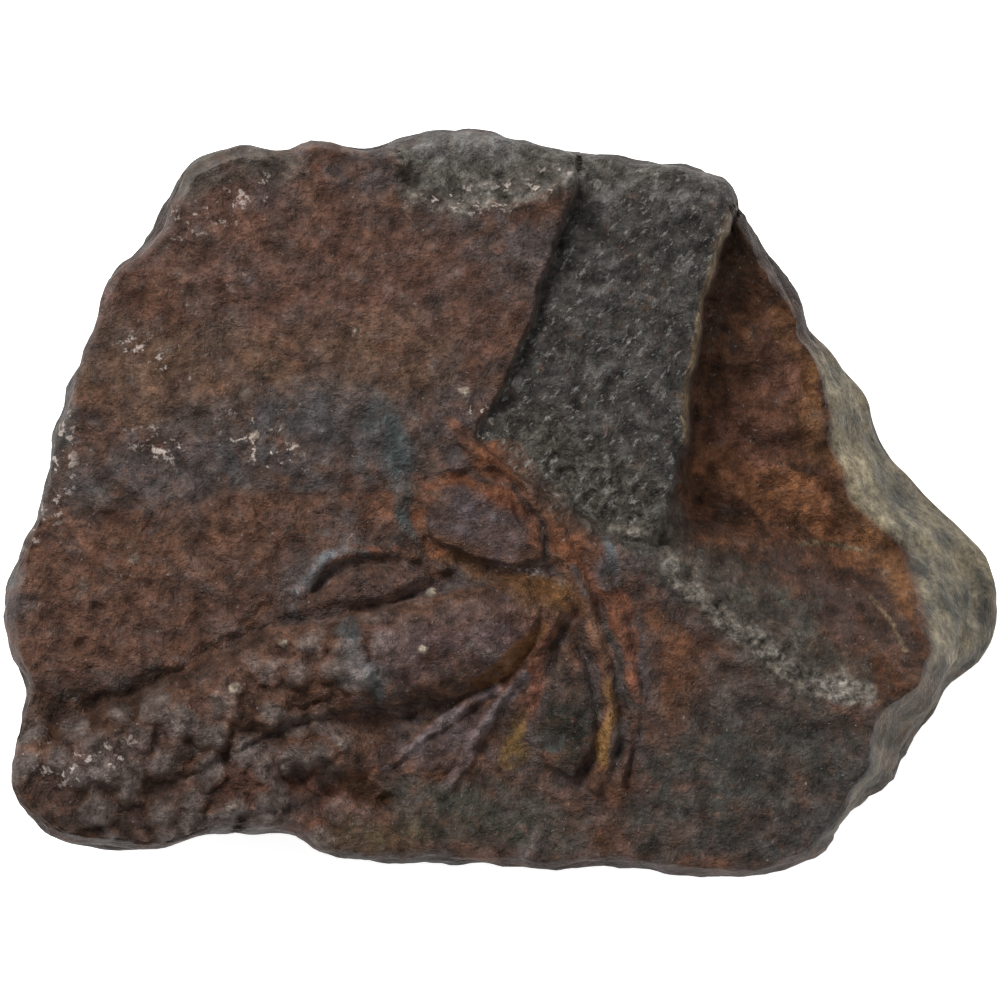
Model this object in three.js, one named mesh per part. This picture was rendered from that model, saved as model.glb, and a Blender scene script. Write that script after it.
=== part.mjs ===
// A fossil trilobite, still in the loose piece of iron-stained mudstone that it was split out with.
// Fossil and stone are one natural piece, so this is one solid. The stone lies down with the fossil up.
// It is a closed surface wrapped on a sphere of directions: the upper third of the latitudes is the
// broken top, the middle third the sides, and the lower third the underside.
// Millimetres, +Z up. The origin is on the flat resting face, under the middle of the stone.

import * as THREE from "three";
import { ImprovedNoise } from "three/addons/math/ImprovedNoise.js";
import { mergeVertices } from "three/addons/utils/BufferGeometryUtils.js";

const { clamp, lerp, smoothstep, degToRad, radToDeg } = THREE.MathUtils;

// Driving sizes. The stone is about 100 wide and 75 deep in plan.
const BEDDING_HEIGHT = 34; // from the resting face up to the bedding plane that carries the fossil
const FLOOR_OVERHANG = 4.5; // how far the sides lean in from the widest line down to the resting face
const CORNER_WEAR = 1.1; // degrees of the outline over which its corners are worn round

// How finely the surface is faceted.
const SEED_DETAIL = 5; // splits of each edge of the icosahedron that the surface starts from
const TOP_FACETS = { finest: 1.5, coarsest: 5, tolerance: 0.21 }; // edge lengths, and how far the
const SIDE_FACETS = { finest: 3, coarsest: 8, tolerance: 0.45 }; // surface may lie from an edge's middle
const MOST_ROUNDS = 12; // rounds of halving edges

// The stone seen from above: x, y of the corners of its widest line, anticlockwise from the right.
const OUTLINE = [
  [50.4, -9.2], [49.9, -6.4], [48.9, -4.9], [45.9, -2.2], [43.1, 0], [41.5, 2.3], [39.2, 5.1],
  [37.9, 7.4], [37.2, 10.2], [35.7, 12.7], [33.5, 15.2], [31.1, 17.1], [30.5, 19.5], [29.1, 21.8],
  [26.8, 24.9], [25.1, 27.8], [24.1, 29.8], [23, 32], [22, 32.6], [18, 33.7], [13.3, 34],
  [11.3, 34.9], [8.5, 34.7], [5, 35], [1.3, 36.1], [-0.8, 37], [-3.3, 37.3], [-6, 37], [-10, 36],
  [-13.7, 34.9], [-16, 35.5], [-19.3, 35.9], [-21.3, 34.7], [-25.3, 35.7], [-28.3, 34.9],
  [-31.2, 33.2], [-32.7, 30.2], [-34, 27.7], [-36.2, 25], [-38, 23.8], [-39.3, 22], [-40, 20.3],
  [-40.3, 18.3], [-41.2, 15.7], [-43.3, 9.3], [-44.5, 6], [-44.8, 2.3], [-45.6, 1], [-45.8, -1.2],
  [-47.8, -4.7], [-48.8, -7.7], [-49.3, -10.3], [-49.2, -13.3], [-48.3, -16.5], [-47.1, -18],
  [-48, -20.7], [-48.5, -24.7], [-48.4, -28.3], [-47.5, -30.5], [-45.3, -33], [-43.5, -34],
  [-39.3, -34.5], [-36.7, -34.8], [-32.7, -34.3], [-29.7, -33.1], [-25, -32.9], [-20.7, -32.8],
  [-18, -34.9], [-15.3, -35.6], [-11.3, -35.7], [-7.7, -35.2], [-2.3, -35.6], [4.3, -36.6],
  [9, -36.2], [15, -36.7], [21.3, -37.4], [25, -37.4], [28, -36.8], [31.2, -36.2], [33, -34.6],
  [35.6, -31.8], [37.2, -29.9], [39.3, -29.3], [40.7, -28.4], [41.9, -25.8], [43.2, -23.3],
  [44.7, -20.5], [45.3, -18.8], [47.5, -17.1], [49.1, -15.3], [50.1, -12.5],
];

// The shoulder between the top's rim and the widest line: azimuth in degrees, its width in plan, the
// height of the widest line, and its section, from 1 for a quarter round to 2 for a straight slope.
// On the right it is a long weathered slope; everywhere else the top breaks off almost square.
const SHOULDER = [
  [-180, 0.9, 27, 1.1], [-150, 1.1, 26, 1], [-120, 0.9, 27, 1.1], [-90, 0.8, 28, 1.2],
  [-60, 0.9, 26, 1.2], [-46, 1.2, 22, 1.4], [-40, 2.2, 14, 1.6], [-34, 5.2, 11, 1.8],
  [-29.5, 5.9, 11, 1.8], [-26.5, 4.2, 11, 1.8], [-23.5, 3.4, 10, 1.7], [-19, 5.3, 9.5, 1.7],
  [-14.5, 7.4, 9, 1.7], [-9, 9.3, 9, 1.8], [-4.5, 8.4, 9, 1.9], [5, 5.4, 9, 1.9], [14, 4.6, 10, 1.9],
  [22, 2.2, 12, 1.7], [27, 1.2, 15, 1.5], [40, 1.1, 21, 1.4], [60, 1, 26, 1.2], [90, 1.2, 28, 1.1],
  [135, 0.9, 28, 1.1], [180, 0.9, 27, 1.1],
];

// Flat fractures that cut the lower sides away: azimuth and dip below level of the way each one faces,
// in degrees, and its distance from a point on the axis at FRACTURE_CENTRE above the resting face.
const FRACTURE_CENTRE = 14;
const FRACTURES = [
  [8, 42, 39], [40, 12, 38.2], [67, 24, 36], [98, 48, 31.5], [124, 17, 40.5], [152, 36, 38],
  [184, 26, 45.5], [211, 44, 42.5], [236, 14, 48.5], [262, 38, 33], [292, 20, 37.2], [318, 40, 38.5],
];

// Heights of the top's broken faces above the bedding plane: at the origin, and the rise per
// millimetre along x and along y.
const RECESS_FLOOR = [-0.75, -0.012, -0.084];
const RUST_FACE = [-6.1, -0.177, 0.106];

// Plan corners of the ground that each break took away. Corners outside the stone only close it.
const RECESS = [
  [7.8, 42], [7.5, 30.8], [6, 26.5], [4, 21], [2, 15.5], [-0.3, 10.2], [-2, 8], [-2.7, 6.2],
  [0.5, 3.8], [4.5, 1], [9, -2], [14, -4.8], [20, -9], [70, -9], [70, 42],
];
const FALL = [
  [27, 42], [23.3, 29.5], [22.2, 26.2], [21.2, 23.2], [20.3, 20], [19.6, 16.5], [19, 12.8], [18.6, 9],
  [18.3, 6], [17.2, 2], [15.4, -1.6], [14.6, -4.6], [18, -8.2], [22.5, -11.5], [26, -14.8],
  [29.2, -16.9], [33.5, -19], [36.6, -19.6], [42, -20.6], [70, -26], [70, 42],
];
const TOP_CHIP = [
  [-12, 42], [-8.5, 31.2], [-5, 29.4], [-2.2, 30.2], [2, 29.7], [6, 31.8], [8, 34], [9, 42],
];
const FALL_SLOPE = [7, 0.85]; // drop per millimetre at the cliff by the recess, and below the ridge
const CLIFF_ENDS = [8, -4]; // y where the cliff starts to ease into the slope below the ridge, and has done
const CHIP_STEP = 0.8; // drop at the chip's edge
const CHIP_SLOPE = 0.3; // and from there outwards, per millimetre
const BREAK_EDGE = 0.45; // half the width over which a break's edge drops
const CREASE = 0.8; // width over which the cliff eases into the rust-stained face

// Gentle swells of the bedding: height, length, and the level of the noise that each is cut from. The
// recess floor is flatter than the bedding, and the rust-stained face is more uneven.
const SWELLS = [
  { height: 0.5, length: 17, level: 3.1 },
  { height: 0.25, length: 6, level: 7.7 },
];
const RECESS_SWELL = 0.6;
const RUST_SWELL = 1.2;

// Ledges along the bedding on the sides: the beds, how far their courses wander, how far each one
// steps back, and the height and length of two sizes of lumps.
const BED_THICKNESS = 4.6;
const BED_WANDER = { height: 0.8, length: 22 };
const LEDGE_DEPTH = 0.9;
const SIDE_LUMPS = [
  { height: 0.9, length: 13 },
  { height: 0.5, length: 5 },
];
const PROUDEST_LEDGE = 0.4; // how far a ledge may stand out past the even side

// Fossil forms, as strokes along a line: x, y and half width at each point. A lobe is raised by its
// height over its full width. Its section is 0.5 for a half ellipse, and smaller for a flatter top.
const LOBES = {
  axialLobe: {
    height: 3.3,
    section: 0.6,
    line: [[-47.5, -28.8, 6], [-42, -27.4, 5.8], [-36, -24.6, 5.2], [-30, -21.4, 4.9],
      [-24.5, -18.6, 5], [-19, -16.6, 5.1], [-14, -15.9, 5]],
  },
  glabella: {
    height: 4,
    section: 0.6,
    line: [[-15.5, -15.9, 4.8], [-11, -15.3, 5.2], [-6, -14.4, 5.4], [-1.5, -12.9, 5],
      [2.2, -11.4, 4], [5, -10.3, 2.6]],
  },
  frontOfGlabella: { height: 0.9, section: 0.9, line: [[4, -9.9, 2.4], [7.6, -9.1, 1.7]] },
  leftEye: {
    height: 1.7,
    section: 0.6,
    line: [[-19.2, -11, 1.3], [-16.8, -9.8, 1.9], [-14, -8.7, 2.2], [-11, -8, 2], [-8, -7.6, 1.3]],
  },
  rightEye: {
    height: 1,
    section: 0.6,
    line: [[-9.5, -26.4, 1.2], [-6.5, -25.2, 2.2], [-3.8, -23.4, 1.9], [-1.4, -21.4, 1]],
  },
  lowerSwell: { height: 2.1, section: 1, line: [[-40, -31, 4], [-32, -30, 3.6], [-25, -28, 3.6]] },
  lowerLump: { height: 1.5, section: 1, line: [[-18.5, -24.3, 3], [-15, -25.2, 2.6]] },
};
const RIDGES = {
  borderRidge: {
    height: 1.2,
    section: 1,
    line: [[-3.8, 6, 0.8], [-1.8, 5, 1], [1, 3, 1], [3.2, 1.2, 1], [4.6, -1.2, 1], [6, -4, 1],
      [7.6, -6.6, 1], [8.6, -10, 1], [9.6, -13.6, 1], [10.5, -17.4, 1], [10.8, -21, 1.1],
      [10.7, -25, 1.1], [9.6, -28.2, 1]],
  },
  outerRidge: {
    height: 0.9,
    section: 1,
    line: [[8.6, -3.6, 0.7], [10, -6.6, 0.9], [11.3, -10.2, 0.9], [12.3, -14, 0.9], [13.1, -17, 0.9],
      [13.3, -20, 0.9], [12.9, -23.6, 0.8], [12, -27.6, 0.7]],
  },
  leftEyeRim: {
    height: 1.4,
    section: 1,
    line: [[-20, -9.4, 0.8], [-19.4, -7.6, 1], [-18.2, -6.2, 1], [-16.3, -5.3, 1], [-13.8, -4.8, 1],
      [-11, -4.9, 0.9], [-8.5, -5.5, 0.7]],
  },
  rightEyeUpperRim: {
    height: 1,
    section: 1,
    line: [[-10.9, -26, 0.6], [-7.2, -23, 0.7], [-4.3, -20.8, 0.7], [-0.3, -18.4, 0.6]],
  },
  rightEyeLowerRim: {
    height: 0.9,
    section: 1,
    line: [[-6, -29, 0.6], [-4.5, -27.5, 0.7], [-3, -25, 0.8], [-1.7, -22.2, 0.8], [0.2, -19.4, 0.8],
      [2.6, -16.4, 0.8]],
  },
  rightCheekFold: {
    height: 1,
    section: 1,
    line: [[0.9, -22, 0.8], [2.2, -19.6, 1.1], [3.4, -16.8, 1.2], [4.8, -13.8, 1], [5.8, -11.6, 0.8]],
  },
};
const FURROWS = {
  leftAxialFurrow: {
    height: 1.6,
    section: 1.4,
    line: [[-49, -20.8, 3.4], [-44, -21.4, 3.2], [-40, -20.8, 2.6], [-35, -19, 2], [-31, -16.8, 1.6],
      [-27.5, -14.6, 1.4], [-23.8, -13.1, 1.3], [-20, -12.1, 1.2], [-16.5, -11.1, 1.1],
      [-13, -10.8, 1.1], [-10.2, -9.7, 1], [-7.5, -8.4, 0.9], [-5, -7.2, 0.9]],
  },
  rightAxialFurrow: {
    height: 0.8,
    section: 1.2,
    line: [[-17, -22.2, 1.2], [-12, -21.6, 1.6], [-8, -21, 1.4], [-4, -19.6, 1.1], [-1, -17.9, 1.1],
      [1.5, -16.2, 1.1], [3.5, -14.2, 1], [4.2, -12.4, 0.8]],
  },
  leftEyeFurrow: {
    height: 0.5,
    section: 1,
    line: [[-18.9, -9.8, 0.6], [-18.2, -8.1, 0.7], [-16.9, -7, 0.7], [-14.8, -6.3, 0.7],
      [-12, -6.2, 0.7], [-8.9, -6.6, 0.7], [-5, -7.2, 0.7]],
  },
  leftCheekBack: {
    height: 0.5,
    section: 1,
    line: [[-7.4, -3.8, 0.7], [-6.4, -4.9, 0.8], [-3.8, -6.1, 0.8], [-0.6, -6.9, 0.8], [2.3, -7.1, 0.8],
      [5, -6.6, 0.7], [6.2, -6, 0.6]],
  },
  leftCheekOutside: {
    height: 0.6,
    section: 1,
    line: [[-7.3, 2, 0.7], [-5, 2.5, 0.8], [-2.6, 2.8, 0.8], [-0.6, 3, 0.8], [1.6, 1.7, 0.7],
      [3.4, -1.4, 0.7], [4.8, -4.4, 0.7]],
  },
  rightCheekFront: {
    height: 0.6,
    section: 1,
    line: [[7.6, -13.4, 0.6], [9.2, -17.4, 0.7], [9.9, -21, 0.8], [9.6, -25, 0.8], [8.2, -28.2, 0.8]],
  },
  hollowBelowAxis: {
    height: 1.3,
    section: 1.3,
    line: [[-21, -27.5, 2.2], [-16.8, -28.2, 2.6], [-12, -29.4, 2]],
  },
};

// The cheeks, as flat raised plates: height, width of the rim, corners in plan.
const PLATES = {
  leftCheek: {
    height: 1.3,
    rim: 1,
    corners: [[-7.2, 1.8], [-4.5, 2.3], [-2, 2.6], [0, 2], [1.2, 0.8], [2, -1], [3.2, -3], [4.5, -4.5],
      [4.6, -6], [2, -6.6], [-1, -6.3], [-3.8, -5.6], [-6, -4.6], [-7.2, -3.5], [-7.5, -1]],
  },
  rightCheek: {
    height: 0.9,
    rim: 1,
    corners: [[6, -13.4], [8, -15], [9.4, -18], [10, -21], [9.8, -24], [8.6, -27], [7.5, -28.4],
      [4, -26.6], [3.4, -24], [3.8, -21.4], [4.4, -19], [5, -16]],
  },
};

// A periodic function of azimuth in radians, straight between rows of degrees and values.
function aroundTheStone(rows) {
  const sorted = [...rows].sort((a, b) => a[0] - b[0]);
  return (azimuth) => {
    const first = sorted[0][0];
    const turned = first + THREE.MathUtils.euclideanModulo(radToDeg(azimuth) - first, 360);
    let next = sorted.findIndex((row) => row[0] > turned);
    if (next < 0) next = sorted.length;
    const before = sorted[next - 1];
    const after = next < sorted.length ? sorted[next] : [first + 360, ...sorted[0].slice(1)];
    const share = (turned - before[0]) / Math.max(after[0] - before[0], 1e-9);
    return before.slice(1).map((value, i) => lerp(value, after[i + 1], share));
  };
}

const cornerRadius = aroundTheStone(
  OUTLINE.map(([x, y]) => [radToDeg(Math.atan2(y, x)), Math.hypot(x, y)]),
);
const shoulderAt = aroundTheStone(SHOULDER);

// The plan radius of the widest line, with its corners worn round.
function widestRadius(azimuth) {
  const turns = [-1, -0.5, 0, 0.5, 1].map((share) => degToRad(share * CORNER_WEAR));
  return turns.reduce((sum, turn) => sum + cornerRadius(azimuth + turn)[0], 0) / turns.length;
}

// Distance from a plan point to the segment a to b, and how far along the segment it falls, 0 to 1.
function toSegment(x, y, a, b) {
  const dx = b.x - a.x;
  const dy = b.y - a.y;
  const along = clamp(((x - a.x) * dx + (y - a.y) * dy) / (dx * dx + dy * dy), 0, 1);
  return [Math.hypot(x - a.x - dx * along, y - a.y - dy * along), along];
}

// Signed distance to a closed plan outline, positive inside.
function insideOf(corners) {
  const points = corners.map(([x, y]) => new THREE.Vector2(x, y));
  return (x, y) => {
    let nearest = Infinity;
    let inside = false;
    points.forEach((a, i) => {
      const b = points[(i + 1) % points.length];
      nearest = Math.min(nearest, toSegment(x, y, a, b)[0]);
      const crosses = a.y > y !== b.y > y;
      if (crosses && x < a.x + ((b.x - a.x) * (y - a.y)) / (b.y - a.y)) inside = !inside;
    });
    return inside ? nearest : -nearest;
  };
}
const inRecess = insideOf(RECESS);
const inFall = insideOf(FALL);
const inTopChip = insideOf(TOP_CHIP);

// The height that a stroke adds at a plan point. It thins out where its half width does.
function strokeHeight({ height, section, line }) {
  const curve = new THREE.CatmullRomCurve3(line.map((p) => new THREE.Vector3(...p)), false, "catmullrom");
  const points = curve.getPoints((line.length - 1) * 4);
  const fullWidth = Math.max(...line.map((p) => p[2]));
  return (x, y) => {
    let best = 0;
    for (let i = 1; i < points.length; i++) {
      const [distance, along] = toSegment(x, y, points[i - 1], points[i]);
      const halfWidth = lerp(points[i - 1].z, points[i].z, along);
      const share = distance / halfWidth;
      if (share < 1) best = Math.max(best, (halfWidth / fullWidth) * (1 - share * share) ** section);
    }
    return height * best;
  };
}
const lobes = Object.values(LOBES).map(strokeHeight);
const ridges = Object.values(RIDGES).map(strokeHeight);
const furrows = Object.values(FURROWS).map(strokeHeight);
const plates = Object.values(PLATES).map(({ height, rim, corners }) => {
  const inPlate = insideOf(corners);
  return (x, y) => height * smoothstep(inPlate(x, y), 0, rim);
});

const noise = new ImprovedNoise();
const wave = (x, y, z, length) => noise.noise(x / length, y / length, z / length);

const planeHeight = ([atOrigin, alongX, alongY], x, y) => atOrigin + alongX * x + alongY * y;

// The larger of two heights, with the inside corner between them eased over a width.
function easedMax(a, b, width) {
  const share = clamp(0.5 + (a - b) / (2 * width), 0, 1);
  return lerp(b, a, share) + width * share * (1 - share);
}

// Height of the top above the resting face.
function topHeight(x, y) {
  const swell = SWELLS.reduce((sum, s) => sum + s.height * wave(x, y, s.level, s.length), 0);
  const chip = inTopChip(x, y);
  const chipped = CHIP_STEP * smoothstep(chip, -BREAK_EDGE, BREAK_EDGE) + CHIP_SLOPE * Math.max(chip, 0);
  let relief = Math.max(...lobes.map((lobe) => lobe(x, y)));
  relief += [...plates, ...ridges].reduce((sum, form) => sum + form(x, y), 0);
  relief -= furrows.reduce((sum, furrow) => sum + furrow(x, y), 0);
  const bedding = swell + relief - chipped;
  const floor = planeHeight(RECESS_FLOOR, x, y) + RECESS_SWELL * swell;
  const standing = lerp(bedding, floor, smoothstep(inRecess(x, y), -BREAK_EDGE, BREAK_EDGE));
  const cliff = smoothstep(y, CLIFF_ENDS[1], CLIFF_ENDS[0]);
  const slope = lerp(FALL_SLOPE[1], FALL_SLOPE[0], cliff);
  const fallen = standing - slope * Math.max(inFall(x, y), 0);
  const rust = planeHeight(RUST_FACE, x, y) + RUST_SWELL * swell;
  return BEDDING_HEIGHT + easedMax(fallen, Math.min(rust, standing), CREASE);
}

// Bedding-parallel ledges on the sides, as millimetres out from the even side.
function ledges(x, y, z) {
  const bed = z / BED_THICKNESS + BED_WANDER.height * wave(x, y, z, BED_WANDER.length);
  const step = bed - Math.floor(bed);
  const ledge = LEDGE_DEPTH * (smoothstep(step, 0, 0.25) - step);
  return SIDE_LUMPS.reduce((sum, lump) => sum + lump.height * wave(x, y, z, lump.length), ledge);
}

const plan = (azimuth, radius, z) =>
  new THREE.Vector3(radius * Math.cos(azimuth), radius * Math.sin(azimuth), z);

function topPoint(azimuth, share) {
  const rim = widestRadius(azimuth) - shoulderAt(azimuth)[0];
  const point = plan(azimuth, rim * share, 0);
  return point.setZ(topHeight(point.x, point.y));
}

// A point of the sides, at a share from the rim down to the resting face.
const WIDEST_SHARE = 0.45;
function sidePoint(azimuth, share) {
  const [width, widestHeight, section] = shoulderAt(azimuth);
  const outer = widestRadius(azimuth);
  const rim = topPoint(azimuth, 1);
  let point;
  if (share < WIDEST_SHARE) {
    const turn = (share / WIDEST_SHARE) * (Math.PI / 2);
    const out = width * Math.sin(turn) ** section;
    const down = (rim.z - widestHeight) * (1 - Math.cos(turn) ** section);
    point = plan(azimuth, outer - width + out, rim.z - down);
  } else {
    const below = (share - WIDEST_SHARE) / (1 - WIDEST_SHARE);
    point = plan(azimuth, outer - FLOOR_OVERHANG * below ** 1.6, widestHeight * (1 - below));
  }
  const fade = smoothstep(share, 0, 0.3) * (1 - smoothstep(share, 0.8, 1));
  const rough = fade * ledges(point.x, point.y, point.z);
  return plan(azimuth, Math.hypot(point.x, point.y) + Math.min(rough, PROUDEST_LEDGE), point.z);
}

const undersidePoint = (azimuth, share) =>
  plan(azimuth, (widestRadius(azimuth) - FLOOR_OVERHANG) * (1 - share), 0);

const fractures = FRACTURES.map(([azimuth, dip, distance]) => {
  const [turn, tilt] = [degToRad(azimuth), degToRad(dip)];
  const normal = plan(turn, Math.cos(tilt), -Math.sin(tilt));
  return new THREE.Plane(normal, -distance - normal.z * FRACTURE_CENTRE);
});

// The point of the stone's surface in a direction of the unit sphere.
function stoneSurface(direction) {
  const azimuth = Math.atan2(direction.y, direction.x);
  const level = (3 * Math.acos(clamp(direction.z, -1, 1))) / Math.PI;
  if (level <= 1) return topPoint(azimuth, level);
  const point = level <= 2 ? sidePoint(azimuth, level - 1) : undersidePoint(azimuth, level - 2);
  fractures.forEach((plane) => {
    if (plane.distanceToPoint(point) > 0) plane.projectPoint(point.clone(), point);
  });
  return point.setZ(Math.max(point.z, 0));
}

// A closed mesh of a surface over the unit sphere. Each round halves the longest edge of every face
// that is too coarse. A face with any halved edge halves its longest one too, so faces stay plump,
// and both faces of an edge always share its middle, so the mesh has no cracks.
function facetedSurface(surface) {
  const ball = new THREE.IcosahedronGeometry(1, SEED_DETAIL).deleteAttribute("normal").deleteAttribute("uv");
  const seed = mergeVertices(ball, 1e-5);
  const position = seed.getAttribute("position");
  const directions = Array.from({ length: position.count }, (_, i) =>
    new THREE.Vector3().fromBufferAttribute(position, i).normalize(),
  );
  const points = directions.map(surface);

  const edges = new Map();
  const edgeBetween = (i, j) => {
    const key = i < j ? `${i} ${j}` : `${j} ${i}`;
    if (!edges.has(key)) {
      const direction = directions[i].clone().add(directions[j]).normalize();
      const middle = surface(direction);
      const length = points[i].distanceTo(points[j]);
      const off = middle.distanceTo(points[i].clone().lerp(points[j], 0.5));
      const { finest, coarsest, tolerance } = direction.z > 0.5 ? TOP_FACETS : SIDE_FACETS;
      const coarse = length > finest && (off > tolerance || length > coarsest) && middle.z > 0;
      edges.set(key, { direction, middle, length, coarse, halved: false, half: -1 });
    }
    return edges.get(key);
  };
  const halfOf = (edge) => {
    if (edge.half < 0) {
      edge.half = points.length;
      points.push(edge.middle);
      directions.push(edge.direction);
    }
    return edge.half;
  };

  // A face turned so that its first two corners end its longest edge.
  const longestFirst = ([a, b, c]) =>
    [[a, b, c], [b, c, a], [c, a, b]].sort(
      (one, other) => edgeBetween(other[0], other[1]).length - edgeBetween(one[0], one[1]).length,
    )[0];

  let faces = [];
  for (let i = 0; i < seed.index.count; i += 3) faces.push(Array.from(seed.index.array.slice(i, i + 3)));
  for (let round = 0; round < MOST_ROUNDS; round++) {
    faces = faces.map(longestFirst);
    let growing = true;
    for (let first = true; growing; first = false) {
      growing = false;
      for (const [a, b, c] of faces) {
        const longest = edgeBetween(a, b);
        const all = [longest, edgeBetween(b, c), edgeBetween(c, a)];
        const coarse = first && all.some((edge) => edge.coarse);
        if (!longest.halved && (coarse || all.some((edge) => edge.halved))) {
          longest.halved = true;
          growing = true;
        }
      }
    }
    faces = faces.flatMap(([a, b, c]) => {
      if (!edgeBetween(a, b).halved) return [[a, b, c]];
      const middle = halfOf(edgeBetween(a, b));
      return [[b, c], [c, a]].flatMap(([from, to]) => {
        const edge = edgeBetween(from, to);
        if (!edge.halved) return [[middle, from, to]];
        return [[middle, from, halfOf(edge)], [middle, halfOf(edge), to]];
      });
    });
  }
  const geometry = new THREE.BufferGeometry().setFromPoints(points).setIndex(faces.flat());
  geometry.computeVertexNormals();
  return geometry;
}

const ironStainedMudstone = new THREE.MeshStandardMaterial({
  name: "iron_stained_mudstone",
  color: 0x4a3d37,
  roughness: 0.82,
  metalness: 0,
});

const fossilStone = new THREE.Mesh(facetedSurface(stoneSurface), ironStainedMudstone);
fossilStone.name = "fossil_stone";

const fossilTrilobite = new THREE.Group();
fossilTrilobite.add(fossilStone);

export default fossilTrilobite;
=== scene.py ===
# A fossil trilobite in a loose piece of iron-stained mudstone, lying flat with the fossil up.
# Sizes in the stone's tables are millimetres from the middle of its resting face, +Z up.

import math

import bmesh
import bpy
import numpy as np
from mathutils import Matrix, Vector, noise


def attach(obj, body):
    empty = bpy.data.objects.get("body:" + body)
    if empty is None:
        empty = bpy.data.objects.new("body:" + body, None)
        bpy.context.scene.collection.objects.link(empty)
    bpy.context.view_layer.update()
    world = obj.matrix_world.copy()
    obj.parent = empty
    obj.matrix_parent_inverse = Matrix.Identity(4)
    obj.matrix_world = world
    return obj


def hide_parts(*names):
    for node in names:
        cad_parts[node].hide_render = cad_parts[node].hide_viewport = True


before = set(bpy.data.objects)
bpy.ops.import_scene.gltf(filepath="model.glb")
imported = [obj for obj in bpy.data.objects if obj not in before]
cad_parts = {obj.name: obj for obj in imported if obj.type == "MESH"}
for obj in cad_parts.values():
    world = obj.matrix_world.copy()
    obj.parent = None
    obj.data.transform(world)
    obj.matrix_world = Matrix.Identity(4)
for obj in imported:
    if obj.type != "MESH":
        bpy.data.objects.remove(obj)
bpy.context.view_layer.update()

MM = 0.001
BEDDING_HEIGHT = 34  # from the resting face up to the bedding plane that carries the fossil
FLOOR_OVERHANG = 4.5  # how far the sides lean in from the widest line down to the resting face
CORNER_WEAR = 1.1  # degrees of the outline over which its corners are worn round

# The stone is wrapped on a ball. These heights on the ball end its top and its sides.
TOP_ENDS = -0.24
SIDES_END = -0.92
BALL_SPLITS = 7
PLAIN_EDGE = 0.62  # longest edge on the plain bedding
FINE_EDGE = 0.34  # longest edge on the fossil and along the breaks
EDGE_SPLITS = 2  # rounds that halve the edges that are too long
BREAK_REACH = 1.4  # how near an edge of a break the mesh is fine
FOSSIL_AREA = (-48, 15, -33, 7.5)  # left, right, front and back of the part of the top that it covers

# x, y of the corners of the stone's widest line seen from above, anticlockwise from the right.
OUTLINE = [
    (50.4, -9.2), (49.9, -6.4), (48.9, -4.9), (45.9, -2.2), (43.1, 0), (41.5, 2.3), (39.2, 5.1),
    (37.9, 7.4), (37.2, 10.2), (35.7, 12.7), (33.5, 15.2), (31.1, 17.1), (30.5, 19.5), (29.1, 21.8),
    (26.8, 24.9), (25.1, 27.8), (24.1, 29.8), (23, 32), (22, 32.6), (18, 33.7), (13.3, 34),
    (11.3, 34.9), (8.5, 34.7), (5, 35), (1.3, 36.1), (-0.8, 37), (-3.3, 37.3), (-6, 37), (-10, 36),
    (-13.7, 34.9), (-16, 35.5), (-19.3, 35.9), (-21.3, 34.7), (-25.3, 35.7), (-28.3, 34.9),
    (-31.2, 33.2), (-32.7, 30.2), (-34, 27.7), (-36.2, 25), (-38, 23.8), (-39.3, 22), (-40, 20.3),
    (-40.3, 18.3), (-41.2, 15.7), (-43.3, 9.3), (-44.5, 6), (-44.8, 2.3), (-45.6, 1), (-45.8, -1.2),
    (-47.8, -4.7), (-48.8, -7.7), (-49.3, -10.3), (-49.2, -13.3), (-48.3, -16.5), (-47.1, -18),
    (-48, -20.7), (-48.5, -24.7), (-48.4, -28.3), (-47.5, -30.5), (-45.3, -33), (-43.5, -34),
    (-39.3, -34.5), (-36.7, -34.8), (-32.7, -34.3), (-29.7, -33.1), (-25, -32.9), (-20.7, -32.8),
    (-18, -34.9), (-15.3, -35.6), (-11.3, -35.7), (-7.7, -35.2), (-2.3, -35.6), (4.3, -36.6),
    (9, -36.2), (15, -36.7), (21.3, -37.4), (25, -37.4), (28, -36.8), (31.2, -36.2), (33, -34.6),
    (35.6, -31.8), (37.2, -29.9), (39.3, -29.3), (40.7, -28.4), (41.9, -25.8), (43.2, -23.3),
    (44.7, -20.5), (45.3, -18.8), (47.5, -17.1), (49.1, -15.3), (50.1, -12.5),
]

# The shoulder between the top's rim and the widest line: azimuth in degrees, its width in plan, the
# height of the widest line, and its section, from 1 for a quarter round to 2 for a straight slope.
SHOULDER = [
    (-180, 0.9, 27, 1.1), (-150, 1.1, 26, 1), (-120, 0.9, 27, 1.1), (-90, 0.8, 28, 1.2),
    (-60, 0.9, 26, 1.2), (-46, 1.2, 22, 1.4), (-40, 2.2, 14, 1.6), (-34, 5.2, 11, 1.8),
    (-29.5, 5.9, 11, 1.8), (-26.5, 4.2, 11, 1.8), (-23.5, 3.4, 10, 1.7), (-19, 5.3, 9.5, 1.7),
    (-14.5, 7.6, 9, 1.7), (-9, 10, 9, 1.8), (-4.5, 9.2, 9, 1.9), (5, 5.8, 9, 1.9), (14, 4.6, 10, 1.9),
    (22, 2.2, 12, 1.7), (27, 1.2, 15, 1.5), (40, 1.1, 21, 1.4), (60, 1, 26, 1.2), (90, 1.2, 28, 1.1),
    (135, 0.9, 28, 1.1), (180, 0.9, 27, 1.1),
]

# Flat fractures that cut the lower sides away: azimuth and dip below level of the way each one faces,
# in degrees, and its distance from a point on the axis at FRACTURE_CENTRE above the resting face.
FRACTURE_CENTRE = 14
FRACTURES = [
    (8, 42, 39), (40, 12, 38.2), (67, 24, 36), (98, 48, 31.5), (124, 17, 40.5), (152, 36, 38),
    (184, 26, 45.5), (211, 44, 42.5), (236, 14, 48.5), (262, 38, 33), (292, 20, 37.2), (318, 40, 38.5),
]

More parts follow.
